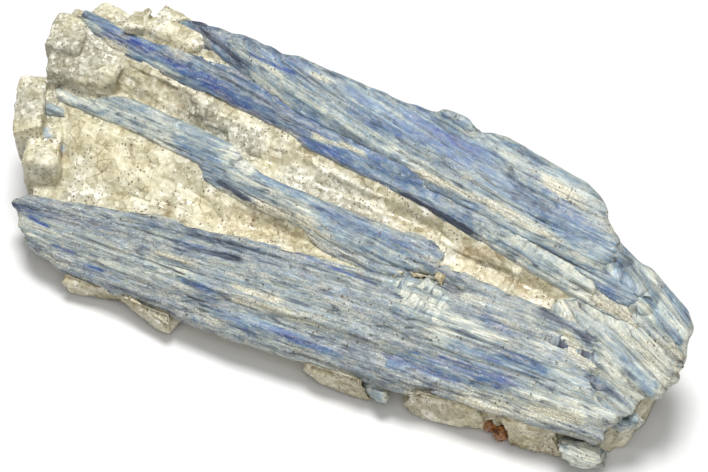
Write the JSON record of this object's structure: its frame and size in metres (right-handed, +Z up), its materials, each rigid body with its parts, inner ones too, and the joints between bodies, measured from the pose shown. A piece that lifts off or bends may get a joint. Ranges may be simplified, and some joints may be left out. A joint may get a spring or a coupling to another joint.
{
  "type": "kyanite blade cluster",
  "caption": "Long hand specimen of blue kyanite blades fanning over a broken face of cream quartz, lying on a flat underside, with splintery ends and small garnet grains.",
  "frame": {"origin": "on the flat underside, below the middle of the specimen", "axes": "+X along the blades towards the end with the rounded blue blade, +Y to the back, +Z up from the surface it lies on"},
  "size_m": [0.1967, 0.0751, 0.0532],
  "materials": {
    "quartz": "broken milky quartz, cream to grey, stained ochre in places, with a sugary sparkle",
    "kyanite": "bladed kyanite, grey-blue to mid blue, pearly, with fine striations along each blade",
    "kyanite_dark": "bladed kyanite, deep blue to indigo, glossy along the cleavage",
    "kyanite_pale": "bladed kyanite, pale blue-grey and splintery, stained cream",
    "garnet": "orange-brown garnet grain, half glossy"
  },
  "bodies": {
    "root": {"quartz_matrix": "quartz", "dark_blue_blades": "kyanite_dark", "middle_blades": "kyanite_pale", "upper_blades": "kyanite", "lower_blades": "kyanite", "back_blades": "kyanite", "end_blade": "kyanite", "end_splinters": "kyanite_pale", "left_tip_blade": "kyanite_pale", "front_chip": "kyanite_pale", "lower_chip": "kyanite_pale", "right_chip": "kyanite_pale", "garnet_left": "garnet", "garnet_right": "garnet"}
  },
  "joints": []
}
